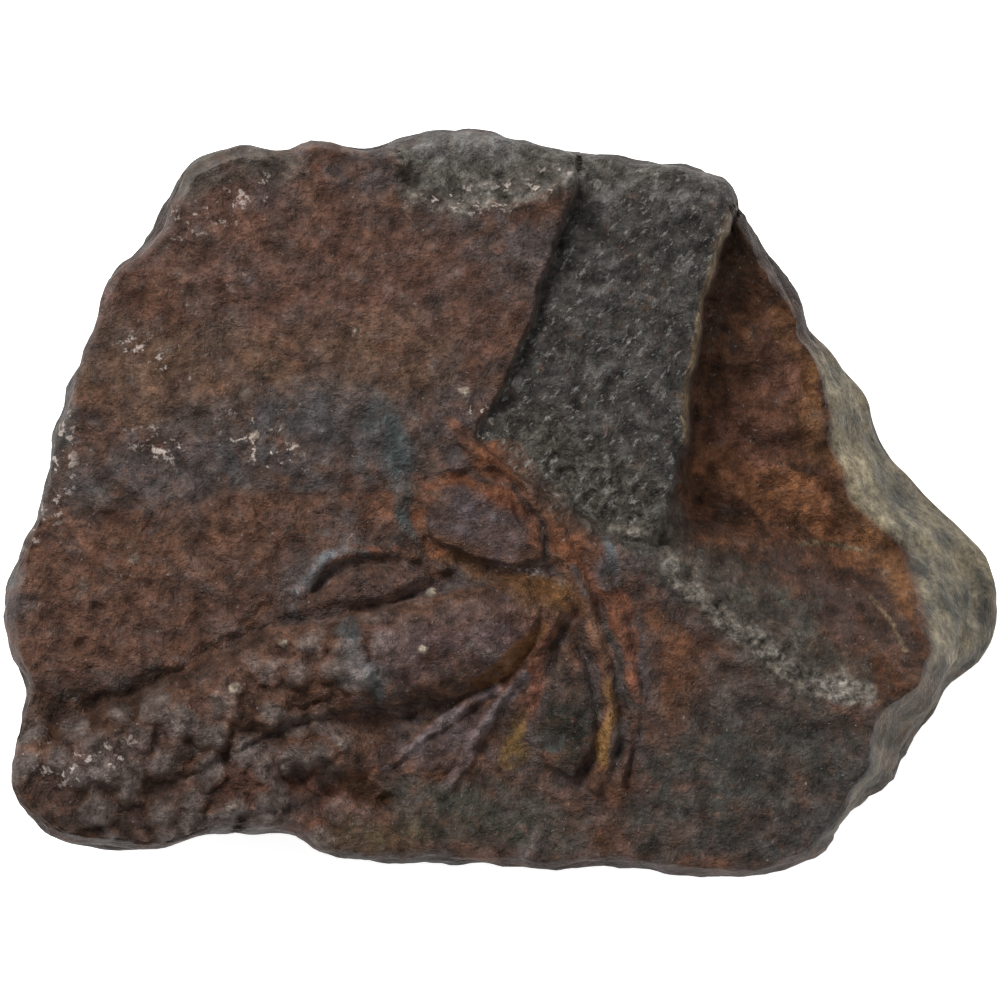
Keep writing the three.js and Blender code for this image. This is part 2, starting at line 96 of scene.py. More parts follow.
# Heights of the top's broken faces above the bedding: at the origin, and the rise per mm of x and y.
RECESS_FLOOR = (-0.75, -0.012, -0.084)
RUST_FACE = (-6.1, -0.177, 0.106)

# Plan corners of the ground that each break took away. Corners outside the stone only close it.
RECESS = [
    (7.8, 42), (7.5, 30.8), (6, 26.5), (4, 21), (2, 15.5), (-0.3, 10.2), (-2, 8), (-2.7, 6.2),
    (0.5, 3.8), (4.5, 1), (9, -2), (14, -4.8), (20, -9), (70, -9), (70, 42),
]
FALL = [
    (27, 42), (23.3, 29.5), (22.2, 26.2), (21.2, 23.2), (20.3, 20), (19.6, 16.5), (19, 12.8), (18.6, 9),
    (18.3, 6), (17.2, 2), (15.4, -1.6), (14.6, -4.6), (18, -8.2), (22.5, -11.5), (26, -14.8),
    (29.2, -16.9), (33.5, -19), (36.6, -19.6), (42, -20.6), (70, -26), (70, 42),
]
TOP_CHIP = [
    (-12, 42), (-8.5, 31.2), (-5, 29.4), (-2.2, 30.2), (2, 29.7), (6, 31.8), (8, 34), (9, 42),
]
FALL_SLOPE = (7, 0.85)  # drop per mm at the cliff by the recess, and below the ridge
CHIP_SLOPE = 0.3

# The fossil, as strokes: height, section (0.5 for a half ellipse, smaller for a flatter top), and a
# line of x, y and half width.
LOBES = [
    (3.3, 0.6, [(-47.5, -28.8, 6), (-42, -27.4, 5.8), (-36, -24.6, 5.2), (-30, -21.4, 4.9),
                (-24.5, -18.6, 5), (-19, -16.6, 5.1), (-14, -15.9, 5)]),
    (4, 0.6, [(-15.5, -15.9, 4.8), (-11, -15.3, 5.2), (-6, -14.4, 5.4), (-1.5, -12.9, 5),
              (2.2, -11.4, 4), (5, -10.3, 2.6)]),
    (0.9, 0.9, [(4, -9.9, 2.4), (7.6, -9.1, 1.7)]),
    (1.7, 0.6, [(-19.2, -11, 1.3), (-16.8, -9.8, 1.9), (-14, -8.7, 2.2), (-11, -8, 2), (-8, -7.6, 1.3)]),
    (1, 0.6, [(-9.5, -26.4, 1.2), (-6.5, -25.2, 2.2), (-3.8, -23.4, 1.9), (-1.4, -21.4, 1)]),
    (2.1, 1, [(-40, -31, 4), (-32, -30, 3.6), (-25, -28, 3.6)]),
    (1.5, 1, [(-18.5, -24.3, 3), (-15, -25.2, 2.6)]),
]
RIDGES = [
    (0.9, 1, [(-3.8, 6, 0.8), (-1.8, 5, 1), (1, 3, 1), (3.2, 1.2, 1), (4.6, -1.2, 1), (6, -4, 1),
              (7.6, -6.6, 1), (8.6, -10, 1), (9.6, -13.6, 1), (10.5, -17.4, 1), (10.8, -21, 1.1),
              (10.7, -25, 1.1), (9.6, -28.2, 1)]),
    (0.7, 1, [(8.6, -3.6, 0.7), (10, -6.6, 0.9), (11.3, -10.2, 0.9), (12.3, -14, 0.9), (13.1, -17, 0.9),
              (13.3, -20, 0.9), (12.9, -23.6, 0.8), (12, -27.6, 0.7)]),
    (1.1, 1, [(-20, -9.4, 0.7), (-19.4, -7.6, 0.9), (-18.2, -6.2, 0.9), (-16.3, -5.3, 0.9),
              (-13.8, -4.8, 0.8), (-11, -4.9, 0.7), (-8.5, -5.5, 0.6)]),
    (1, 1, [(-10.9, -26, 0.6), (-7.2, -23, 0.8), (-4.3, -20.8, 0.8), (-0.3, -18.4, 0.7)]),
    (0.8, 1, [(-6, -29, 0.6), (-4.5, -27.5, 0.7), (-3, -25, 0.8), (-1.7, -22.2, 0.8), (0.2, -19.4, 0.8),
              (2.6, -16.4, 0.8)]),
    (0.6, 1, [(0.9, -22, 0.8), (2.2, -19.6, 1.1), (3.4, -16.8, 1.2), (4.8, -13.8, 1), (5.8, -11.6, 0.8)]),
]
# The cheeks, as flat plates with sharp rims: height, width of the rim, corners in plan.
PLATES = [
    (1.3, 0.7, [(-7.2, 1.8), (-4.5, 2.3), (-2, 2.6), (0, 2), (1.2, 0.8), (2, -1), (3.2, -3), (4.5, -4.5),
                (4.6, -6), (2, -6.6), (-1, -6.3), (-3.8, -5.6), (-6, -4.6), (-7.2, -3.5), (-7.5, -1)]),
    (0.9, 0.8, [(6, -13.4), (8, -15), (9.4, -18), (10, -21), (9.8, -24), (8.6, -27), (7.5, -28.4),
                (4, -26.6), (3.4, -24), (3.8, -21.4), (4.4, -19), (5, -16)]),
]
FURROWS = [
    (1.6, 1.4, [(-49, -20.8, 3.4), (-44, -21.4, 3.2), (-40, -20.8, 2.6), (-35, -19, 2),
                (-31, -16.8, 1.6), (-27.5, -14.6, 1.4), (-23.8, -13.1, 1.3), (-20, -12.1, 1.2),
                (-16.5, -11.1, 1.1), (-13, -10.8, 1.1), (-10.2, -9.7, 1), (-7.5, -8.4, 0.9),
                (-5, -7.2, 0.9)]),
    (0.8, 1.2, [(-17, -22.2, 1.2), (-12, -21.6, 1.6), (-8, -21, 1.4), (-4, -19.6, 1.1),
                (-1, -17.9, 1.1), (1.5, -16.2, 1.1), (3.5, -14.2, 1), (4.2, -12.4, 0.8)]),
    (0.35, 1, [(-18.9, -9.8, 0.4), (-18.2, -8.1, 0.5), (-16.9, -7, 0.5), (-14.8, -6.3, 0.5),
              (-12, -6.2, 0.5), (-8.9, -6.6, 0.5), (-5, -7.2, 0.5)]),
    (0.5, 1, [(-7.4, -3.8, 0.5), (-6.4, -4.9, 0.6), (-3.8, -6.1, 0.6), (-0.6, -6.9, 0.6),
              (2.3, -7.1, 0.6), (5, -6.6, 0.5), (6.2, -6, 0.4)]),
    (0.6, 1, [(-7.3, 2, 0.5), (-5, 2.5, 0.7), (-2.6, 2.8, 0.8), (-0.6, 3, 0.7), (1.6, 1.7, 0.6),
              (3.4, -1.4, 0.5), (4.8, -4.4, 0.5)]),
    (0.6, 1, [(7.6, -13.4, 0.4), (9.2, -17.4, 0.5), (9.9, -21, 0.6), (9.6, -25, 0.8), (8.2, -28.2, 0.8)]),
    (0.25, 1, [(7.4, -4.3, 0.5), (9.2, -9, 0.6), (10.8, -13.4, 0.6), (11.9, -18, 0.6), (11.9, -23, 0.6),
               (11.1, -27.4, 0.5)]),
    (0.5, 1, [(12.9, -21.6, 0.3), (13.2, -25, 0.4), (12.8, -28.4, 0.4)]),
    (0.7, 1, [(4.2, -10.8, 0.3), (3.6, -12.6, 0.5), (3, -14.6, 0.5), (1.6, -16.6, 0.4)]),
    (1.3, 1.3, [(-21, -27.5, 2.2), (-16.8, -28.2, 2.6), (-12, -29.4, 2)]),
]
# Thin hard edges: the lips of the breaks, and veins across the rust-stained face.
LIPS = [
    (0.3, 0.8, [(23.5, 29.6, 0.4), (22.3, 26.2, 0.45), (21.3, 23.2, 0.45), (20.4, 20, 0.45),
                (19.7, 16.5, 0.45), (19.1, 12.8, 0.45), (18.7, 9, 0.45), (18.4, 6, 0.4)]),
    (0.3, 0.8, [(30, -4.2, 0.25), (33.4, -4.2, 0.3), (37, -4.8, 0.25)]),
    (0.3, 0.8, [(37.4, -9.6, 0.3), (39.4, -12, 0.3), (40.6, -15, 0.25)]),
]
# Broken-up ground where the grey bed meets the fossil's border.
HACKLY = [
    (1, 0.8, [(3, 7, 4), (8, 2, 5), (14, -1, 4.6), (17, -5, 3)]),
    (0.7, 0.8, [(17, -6, 3), (23, -11, 3.4), (30, -17.4, 3)]),
    (0.7, 0.8, [(-8, 32, 3), (0, 32.6, 3), (7, 33.6, 3), (16, 33.4, 3)]),
]
# Rings of the thorax, and cracks over and beside it, each as a furrow of its own.
RINGS = [
    (0.45, 1, [(-44.6, -31, 0.8), (-43.6, -24.5, 0.8)]),
    (0.5, 1, [(-40.2, -30.2, 0.7), (-38.8, -23.6, 0.8)]),
    (0.5, 1, [(-35.3, -28.4, 0.7), (-33.6, -21, 0.8)]),
    (0.5, 1, [(-31.6, -26, 0.7), (-30, -18.9, 0.8)]),
    (0.5, 1, [(-27.6, -23.6, 0.7), (-26.2, -16.8, 0.8)]),
    (0.5, 1, [(-23.4, -21.6, 0.7), (-22.4, -15, 0.8)]),
    (0.5, 1, [(-19.2, -20.4, 0.7), (-18.5, -13.6, 0.8)]),
    (0.6, 1, [(-15, -20, 0.7), (-14.6, -12.8, 0.9)]),
    (0.35, 1, [(-9.6, -19.4, 0.6), (-9.2, -16.6, 0.7)]),
    (0.35, 1, [(-5.4, -18.4, 0.6), (-5, -15.6, 0.7)]),
    (0.4, 1, [(-9.4, -11.2, 0.7), (-9.2, -13, 0.6)]),
    (0.4, 1, [(-4.9, -10, 0.7), (-5, -11.8, 0.6)]),
    (0.6, 1, [(-40, -30.3, 0.4), (-37.8, -28.5, 0.4)]),
    (0.6, 1, [(-32, -27.3, 0.4), (-29.6, -27, 0.4), (-27.6, -25.2, 0.5), (-25.5, -23.9, 0.4)]),
    (0.6, 1, [(-22.5, -20.8, 0.4), (-19.4, -20.7, 0.4), (-16.8, -19.3, 0.4)]),
]
# x, y, radius and depth of pits, then of small proud grains of quartz.
PITS = [
    (-17, -28.2, 1.3, 1), (-11.4, -29.7, 0.9, 0.7), (-26, 7.3, 1, 0.6), (-35.5, -8.2, 0.9, 0.6),
    (-40, -10.2, 0.8, 0.5), (-41.8, -14.2, 0.9, 0.6), (-23.5, -11, 0.8, 0.6),
]
GRAINS = [
    (-24.7, 6.6, 0.5, 0.3), (-3.6, 11, 0.4, 0.3), (-21.7, -14, 0.4, 0.3), (-7, -9, 0.5, 0.3),
    (-7.8, -14.7, 0.5, 0.3), (-26.5, -18.5, 0.6, 0.35), (-14.4, 17.2, 0.4, 0.25),
]
# Where the pale flecks of clay and quartz, with painted glints on the quartz, are thickest.
FLECKS_AND_GLINTS = [
    (0.9, 0.7, [(-27, 8, 1.6), (-23, 5.4, 2.6), (-20, 4, 1.4)]),
    (0.8, 0.7, [(-36, 6.4, 1.6), (-33, 5.6, 2), (-30, 5, 1)]),
    (0.8, 0.7, [(-4.6, 12.6, 1.2), (-3, 10, 1.8), (-1.6, 7, 1.4)]),
    (0.8, 0.8, [(-46, -25.6, 2), (-41.5, -26.4, 2.4), (-37, -24.6, 1.6)]),
    (0.7, 0.7, [(-36.6, 15.8, 1.8), (-33, 14, 2), (-30.6, 12.6, 1)]),
    (0.7, 0.7, [(-43.5, 9, 1.4), (-44, 2, 1.8), (-46, -4, 1.2)]),
    (0.6, 0.7, [(-34, 27, 2), (-24, 31, 2.4)]),
    (0.6, 0.7, [(0.5, -6.6, 1.4), (3, -6.8, 1)]),
    (0.7, 0.7, [(-8, 30.4, 1.6), (-2, 30.2, 1.8), (4, 31.6, 1.8), (7, 34, 1.2)]),
]
# Stains, and three dark tints that are painted shade: colour, strength, and a line of x, y and half
# width.
TINTS = [
    ("#5c4237", 0.8, [(-36, 24, 7), (-26, 25, 9), (-12, 22, 9), (-3, 19, 6)]),
    ("#5f4a3c", 0.7, [(-40, 15, 5), (-34, 12, 6), (-22, 13, 6), (-10, 14, 6)]),
    ("#4a4747", 0.85, [(-42, 2, 3), (-32, 4, 5), (-20, 7, 6), (-9, 6, 5), (-4, 9, 3)]),
    ("#464d4e", 0.9, [(-12, 9.5, 1.6), (-9.6, 3, 1.7), (-8.8, -3, 1.9)]),
    ("#5d4234", 0.9, [(-48, -6, 5), (-38, -7, 5), (-28, -3, 4.5), (-20, -2, 4)]),
    ("#573d31", 0.8, [(-46, -14, 4), (-37, -13, 4), (-28, -11, 3)]),
    # Painted shade, over darker brown rock, along the trough beside the thorax.
    ("#3d2c23", 0.8, [(-47, -20, 3), (-38, -20, 2.4), (-30, -16, 1.8), (-22, -12.6, 1.4)]),
    ("#554444", 0.8, [(-12, -15, 3.6), (-6, -14.4, 4), (0, -12.4, 3.4)]),
    ("#6e4a2a", 0.9, [(-2, -18.2, 1.1), (1.6, -15.6, 1.2), (3.6, -13, 1)]),
    ("#565c5e", 0.95, [(-15.2, -12.8, 1.4), (-14, -16, 2), (-12.8, -19, 1.4)]),
    ("#5d4f4c", 0.7, [(-44, -28, 3.5), (-36, -25, 3), (-30, -22, 3)]),
    ("#634a3f", 0.8, [(-28, -19.6, 2.6), (-23, -17, 3), (-18, -15, 2.4)]),
    ("#4a3a34", 0.7, [(-40, -31.5, 3), (-32, -30, 3), (-25, -28, 3)]),
    ("#573a2f", 0.8, [(-27, -28.5, 2.6), (-20, -27.6, 2.6), (-17, -31, 2.4)]),
    ("#634528", 0.95, [(-6.5, -5.6, 1.1), (-1, -7.3, 1.4), (3, -8.6, 2), (7.4, -9.6, 2)]),
    ("#6d4630", 0.9, [(-5, 7.4, 1.2), (-1, 5, 1.6), (3, 2, 1.8), (6.4, -2.4, 1.8), (8.6, -6.4, 1.6)]),
    ("#6d4630", 0.8, [(-7.8, 2.4, 1), (-8, -1.6, 1), (-6.6, -5, 1.1)]),
    ("#6b4430", 0.9, [(-7, 1.4, 0.8), (-4, 1.9, 0.9), (-0.4, 1.2, 1), (2, -1.6, 0.9), (3.8, -4.6, 0.8)]),
    ("#4c4345", 0.95, [(-5, -0.9, 2.2), (-2.4, -1.6, 3), (0.6, -3.6, 2.2)]),
    ("#4f4140", 0.7, [(-17, -10.2, 1.4), (-12.6, -8.6, 1.8), (-8.6, -7.8, 1.2)]),
    ("#64676a", 0.95, [(-20, -8.8, 0.8), (-18.6, -6.5, 0.9), (-16.3, -5.3, 0.8), (-13, -4.9, 0.6)]),
    ("#3f3a37", 0.8, [(10.6, -12, 0.8), (11.8, -17, 0.9), (12, -23, 0.9), (11.6, -27, 0.8)]),
    ("#6d5141", 0.9, [(6.4, -5, 0.9), (8.4, -10, 0.9), (9.8, -15, 0.9), (10.6, -19, 0.8)]),
    ("#715431", 0.95, [(10.5, -18, 0.6), (10.8, -22, 0.8), (10.5, -26, 0.8)]),
    ("#704633", 0.85, [(9.8, -6, 0.9), (11.4, -10.6, 1.1), (13, -16, 0.8), (13.2, -20, 0.7)]),
    ("#4d5358", 0.9, [(7.9, -6, 0.6), (8.2, -9.2, 0.6)]),
    ("#4d5358", 0.8, [(10.6, -4.4, 0.9), (11.3, -8, 0.7)]),
    ("#7a5242", 0.95, [(4.8, -13.4, 0.8), (3.8, -16.6, 1), (3.2, -19.4, 1.1), (2.2, -22, 0.9)]),
    ("#6c5530", 0.95, [(2.4, -21.4, 0.9), (1.7, -23.4, 1.3), (1.6, -25.6, 1.2)]),
    # Painted shade on the lower cheek, which slopes away from the lamps.
    ("#282620", 1, [(6.4, -15.4, 1.3), (7, -18.6, 2.2), (6.8, -22.6, 2.8), (6.4, -26, 2.2)]),
    ("#3b4240", 0.8, [(4.6, -22, 0.9), (4.8, -25, 1)]),
    ("#504547", 0.8, [(-8.4, -25.4, 1.4), (-5, -24.2, 2), (-2.6, -22, 1.4)]),
    ("#6f6466", 0.95, [(-10.9, -26, 0.7), (-7.2, -23, 0.8), (-4.3, -20.8, 0.8), (-0.3, -18.4, 0.7)]),
    ("#64595a", 0.95, [(-5.7, -28.6, 0.6), (-3.5, -26.2, 0.7), (-1.2, -21.8, 0.8), (2, -18, 0.8)]),
    ("#403f38", 0.9, [(-9, -30.5, 3.2), (0, -31, 4), (6, -33, 3)]),
    ("#48402f", 0.7, [(-16, -33.6, 2.4), (-8, -34, 2)]),
    ("#3b3a36", 1, [(17, -32, 5), (22, -27, 7), (30, -25, 6), (37, -25, 4)]),
    ("#413c38", 0.8, [(19, -21, 4), (25, -18, 3.4), (31, -21, 3)]),
    ("#593b29", 0.9, [(15.6, -12, 2), (18.6, -16, 2.6), (17, -22, 1.8)]),
    ("#3a3836", 0.9, [(24, -34.6, 2.4), (31, -32, 3), (36, -28, 2.6)]),
    # Painted shade on the cliff face below the lip of the grey bed.
    ("#37291f", 0.8, [(25, 28, 2.8), (23.4, 23, 2.4), (21.2, 17, 1.4), (19.8, 10, 1), (19.2, 5, 0.8)]),
    ("#664638", 0.9, [(27.6, 17, 2.6), (27, 10, 4), (24, 4, 4)]),
    ("#7e5438", 0.7, [(21, 4, 1.4), (26, 2, 2.2), (31, 0, 2.2), (35, -4, 1.6), (37.6, -6, 1.2)]),
    ("#6e4c30", 0.8, [(28.6, 19, 1.2), (31.4, 9, 1.6), (34, 3, 1.4), (38, -4, 1.6), (41, -10, 1.6)]),
    ("#453630", 0.9, [(28, -7, 3), (34, -11, 4), (39, -13, 3.6)]),
    ("#47443d", 0.95, [(21.6, -6.4, 2.6), (27, -11, 3.4), (32.4, -15, 2.8), (36, -17.6, 1.8)]),
    ("#666564", 0.9, [(-15, 36, 1.6), (-7, 35.6, 2.6), (3, 34.6, 3), (12, 33, 2.4), (20, 32, 2.6)]),
    ("#57534b", 0.7, [(-31, 32.4, 2.2), (-27, 34, 2.2), (-21, 33.4, 1.4)]),
    ("#4a4a48", 0.8, [(-49, -8, 1.4), (-47.6, -3, 1.4), (-45, 4, 1.4), (-43, 12, 1.2)]),
]
# Crumbly, paler ground along the lip of the breaks, whose paleness is partly a painted highlight on the
# lit lip.
CRUMBS = [
    (0.7, 1, [(10, -2, 1.2), (15.8, -4, 1.6), (18.2, -8, 1.5), (22.5, -11.4, 1.6), (29.2, -16.9, 1.8),
              (33.5, -19, 1.8), (36.6, -19.4, 1.6)]),
    (0.4, 1, [(-10.5, 38, 1), (-8.6, 31.4, 1.2), (-5, 29.3, 1.1), (-2.2, 30, 1), (2, 29.7, 1.1),
              (6, 31.8, 1.1), (7.7, 34.2, 1)]),
]


def linear(hex_colour):
    channels = [int(hex_colour[i : i + 2], 16) / 255 for i in (1, 3, 5)]
    return [c / 12.92 if c <= 0.04045 else ((c + 0.055) / 1.055) ** 2.4 for c in channels] + [1]


def around_the_stone(rows):
    rows = np.array(sorted(rows), dtype=float)
    turns = np.append(rows[:, 0], rows[0, 0] + 360)

    def at(azimuth):
        turned = turns[0] + np.mod(azimuth - turns[0], 360)
        return [np.interp(turned, turns, np.append(values, values[0])) for values in rows[:, 1:].T]

    return at


corner_radius = around_the_stone(
    [(math.degrees(math.atan2(y, x)), math.hypot(x, y)) for x, y in OUTLINE]
)
shoulder_at = around_the_stone(SHOULDER)


def widest_radius(azimuth):
    turns = [-1, -0.5, 0, 0.5, 1]
    return sum(corner_radius(azimuth + turn * CORNER_WEAR)[0] for turn in turns) / len(turns)


def ease(value, start, end):
    share = np.clip((value - start) / (end - start), 0, 1)
    return share * share * (3 - 2 * share)


def wave(x, y, z, length, cover=None):
    """Smooth noise with lumps of that length in mm, within about -1 to 1, and 0 where not covered."""
    made = np.zeros(len(x))
    chosen = np.arange(len(x)) if cover is None else np.nonzero(cover)[0]
    points = np.stack([x[chosen], y[chosen], np.broadcast_to(z, x.shape)[chosen]], 1) / length
    made[chosen] = [noise.noise(point) for point in points.tolist()]
    return made


def domes(x, y, size, cover):
    """Closely packed round lumps of that width in mm, 0 to 1, and 0 where not covered."""
    made = np.zeros(len(x))
    chosen = np.nonzero(cover)[0]
    points = np.stack([x[chosen], y[chosen], np.full(len(chosen), 5.0)], 1) / size
    nearest = np.array([noise.voronoi(point)[0][0] for point in points.tolist()])
    made[chosen] = np.sqrt(np.clip(1 - (nearest / 0.64) ** 2, 0, 1))
    return made


def to_segment(x, y, start, end):
    dx, dy = end[0] - start[0], end[1] - start[1]
    along = np.clip(((x - start[0]) * dx + (y - start[1]) * dy) / (dx * dx + dy * dy), 0, 1)
    return np.hypot(x - start[0] - dx * along, y - start[1] - dy * along), along


def inside_of(corners, x, y):
    """Signed distance to a closed plan outline, positive inside."""
    nearest = np.full(x.shape, np.inf)
    inside = np.zeros(x.shape, dtype=bool)
    for start, end in zip(corners, corners[1:] + corners[:1]):
        nearest = np.minimum(nearest, to_segment(x, y, start, end)[0])
        if start[1] != end[1]:
            at_x = start[0] + (end[0] - start[0]) * (y - start[1]) / (end[1] - start[1])
            inside ^= ((start[1] > y) != (end[1] > y)) & (x < at_x)
    return np.where(inside, nearest, -nearest)


def smooth_line(line, steps=4):
    """Points of a curve through the corners of a line, with their half widths."""
    corners = np.array([line[0], *line, line[-1]], dtype=float)
    points = []
    for before, start, end, after in zip(corners, corners[1:], corners[2:], corners[3:]):
        for share in np.arange(steps) / steps:
            bend = (2 * before - 5 * start + 4 * end - after) * share**2
            twist = (3 * start - before - 3 * end + after) * share**3
            points.append(start + 0.5 * ((end - before) * share + bend + twist))
    return [*points, corners[-1]]


def stroke_height(x, y, height, section, line):
    """The height that a stroke adds at plan points. It thins out where its half width does."""
    best = np.zeros(x.shape)
    full_width = max(point[2] for point in line)
    points = smooth_line(line)
    for start, end in zip(points, points[1:]):
        reach = max(start[2], end[2])
        near = (np.abs(x - (start[0] + end[0]) / 2) < reach + abs(start[0] - end[0]) / 2) & (
            np.abs(y - (start[1] + end[1]) / 2) < reach + abs(start[1] - end[1]) / 2
        )
        distance, along = to_segment(x[near], y[near], start, end)
        half_width = start[2] + (end[2] - start[2]) * along
        inner = np.clip(1 - (distance / half_width) ** 2, 0, 1)
        best[near] = np.maximum(best[near], half_width / full_width * inner**section)
    return height * best


def eased_max(a, b, width):
    share = np.clip(0.5 + (a - b) / (2 * width), 0, 1)
    return b + (a - b) * share + width * share * (1 - share)


def plane_height(plane, x, y):
    return plane[0] + plane[1] * x + plane[2] * y


def top_height(x, y):
    """Height of the top above the resting face, and what each place of it is. The level that each
    wave is given only keeps it apart from the others."""
    ragged = 0.7 * wave(x, y, 11.0, 3.2) + 0.45 * wave(x, y, 12.0, 1.3)
    swell = 0.5 * wave(x, y, 3.1, 17) + 0.25 * wave(x, y, 7.7, 6)
    flakes = wave(x, y, 21.0, 7) + 0.5 * wave(x, y, 22.0, 2.2)
    step = flakes * 4.5
    flakes = (np.floor(step) + ease(step - np.floor(step), 0.35, 0.6)) / 4.5 * 0.6
    grit = 0.42 * wave(x, y, 31.0, 2.4) + 0.34 * wave(x, y, 32.0, 1.2)

    # The fossil's lines are uneven, so they are looked up a little to the side of each place.
    astray = 1 - 0.55 * ease(x, -24, -18)
    lined_x = x + astray * (0.8 * wave(x, y, 71.0, 2.8) + 0.4 * wave(x, y, 72.0, 1.1))
    lined_y = y + astray * (0.8 * wave(x, y, 73.0, 2.8) + 0.4 * wave(x, y, 74.0, 1.1))
    raised = np.max([stroke_height(lined_x, lined_y, *lobe) for lobe in LOBES], 0)
    plates = sum(h * ease(inside_of(c, lined_x, lined_y), 0, rim) for h, rim, c in PLATES)
    ridges = sum(stroke_height(lined_x, lined_y, *ridge) for ridge in RIDGES)
    furrows = sum(stroke_height(lined_x, lined_y, *furrow) for furrow in FURROWS)
    rings = sum(stroke_height(lined_x, lined_y, *ring) for ring in RINGS)
    crumbs = sum(stroke_height(x, y, *crumb) for crumb in CRUMBS)
    pits = sum(stroke_height(lined_x, lined_y, d, 1, [(a, b, r), (a + 0.3, b, r)]) for a, b, r, d in PITS)
    grains = sum(stroke_height(x, y, d, 0.5, [(a, b, r), (a + 0.2, b, r)]) for a, b, r, d in GRAINS)
    on_axis = ease(raised, 0.4, 2) * ease(0.36 * x - y, 5, 7.5) * ease(-x, -4, 1)
    knobbly = on_axis * (0.3 + 0.7 * ease(-x, 8, 16)) + ease(-y, 19, 25) * ease(-x, 12, 20)
    domed = domes(lined_x, lined_y, 3.2, knobbly > 0)
    knobs = np.minimum(knobbly, 1) * (0.95 * domed + 0.3 * domes(lined_y, lined_x, 1.7, knobbly > 0))
    lips = sum(stroke_height(x + 0.5 * ragged, y, *lip) for lip in LIPS)
    hackly = np.max([stroke_height(x, y, *patch) for patch in HACKLY], 0)
    hacks = np.abs(wave(x, y, 35.0, 1.9)) + 0.6 * np.abs(wave(x, y, 36.0, 0.9))
    grit = grit - 0.9 * hackly * hacks

    chip = inside_of(TOP_CHIP, x, y) + ragged
    chipped = 0.8 * ease(chip, -0.4, 0.4) + CHIP_SLOPE * np.maximum(chip, 0)
    quiet = 1 - 0.6 * ease(raised + plates + ridges, 0.2, 1.5)
    uneven = 1 + 0.6 * wave(x, y, 41.0, 2.6) * (1.5 * astray - 0.5)
    relief = raised + plates + (ridges - furrows) * uneven - 0.5 * rings * uneven - pits + grains + knobs
    bedding = swell + relief - chipped + flakes * quiet
    recess = ease(inside_of(RECESS, x, y) + 0.6 * ragged, -0.35, 0.35)
    floor = plane_height(RECESS_FLOOR, x, y) + 0.6 * swell + 0.7 * flakes
    standing = bedding + (floor - bedding) * recess
    standing = standing + crumbs * (0.1 + 2.2 * wave(x, y, 51.0, 1.7))
    slope = FALL_SLOPE[1] + (FALL_SLOPE[0] - FALL_SLOPE[1]) * ease(y, -4, 8)
    fall = inside_of(FALL, x, y) + 0.8 * ragged
    fallen = standing - slope * np.maximum(fall, 0)
    rust = plane_height(RUST_FACE, x, y) + 1.2 * swell + 2 * flakes
    rust = rust + 1.1 * wave(x, y, 61.0, 4.5)
    height = BEDDING_HEIGHT + eased_max(fallen, np.minimum(rust, standing), 0.6) + grit + lips
    kinds = {
        "grey_bed": recess * (1 - ease(fall, -0.3, 1)),
        "rust_face": ease(fall, 0.1, 0.9),
        "raised": ease(raised + plates, 0.3, 1.8) * (1 - recess),
        # Lighter on the crests of the grit and the knobs and darker in their hollows: partly wear, partly
        # painted shade in the hollows.
        "worn": ease(grit + 0.5 * (knobs - 0.5 * knobbly), -0.45, 0.45),
        # Darker colour laid into the furrows, rings and pits by their depth: painted shade.
        "furrow": ease(furrows + 0.6 * rings + pits, 0.3, 1.5),
        "crest": ease(ridges, 0.3, 0.9),
        "knobs": 0.75 * np.minimum(knobbly, 1) * ease(domed, 0.45, 0.9),
        "hackly": hackly,
        "lips": ease(lips, 0.08, 0.22),
        # The crumbs' pale colour is partly a painted highlight along the lip of the breaks.
        "crumbs": ease(crumbs + 0.5 * ragged, 0.2, 0.6),
        "chip": ease(chip, 0, 0.6),
        # Pale flecks: partly the colour of clay and quartz, partly painted glints.
        "flecks_and_glints": np.max([stroke_height(x, y, *fleck) for fleck in FLECKS_AND_GLINTS], 0),
        "grains": ease(grains, 0.1, 0.25),
    }
    return height, kinds


def stain_and_shade_colours(x, y):
    """Colour of the stains and of the painted shade among them, with how thickly they cover as its fourth
    channel.
    """
    colours = np.zeros((len(x), 4))
    patchy = 0.95 + 0.9 * wave(x, y, 81.0, 2.4) + 0.5 * wave(x, y, 82.0, 0.9)
    side_x, side_y = x + 1.6 * wave(x, y, 83.0, 4), y + 1.6 * wave(x, y, 84.0, 4)
    for tint, strength, line in TINTS:
        cover = np.clip(stroke_height(side_x, side_y, strength, 0.5, line) * patchy, 0, 1)
        thickness = cover + colours[:, 3] * (1 - cover)
        share = (cover / np.maximum(thickness, 1e-6))[:, None]
        colours[:, :3] += (np.array(linear(tint)[:3]) - colours[:, :3]) * share
        colours[:, 3] = thickness
    return colours


def ledges(x, y, z):
    """Bedding-parallel ledges on the sides, as mm out from the even side."""
    layer = z / 4.6 + 0.8 * wave(x, y, z, 22)
    step = layer - np.floor(layer)
    rough = 1.3 * (ease(step, 0, 0.2) - step) + 0.9 * wave(x, y, z, 13) + 0.5 * wave(x, y, z, 5)
    return rough + 0.35 * wave(x, y, z, 2.2)


WIDEST_SHARE = 0.45


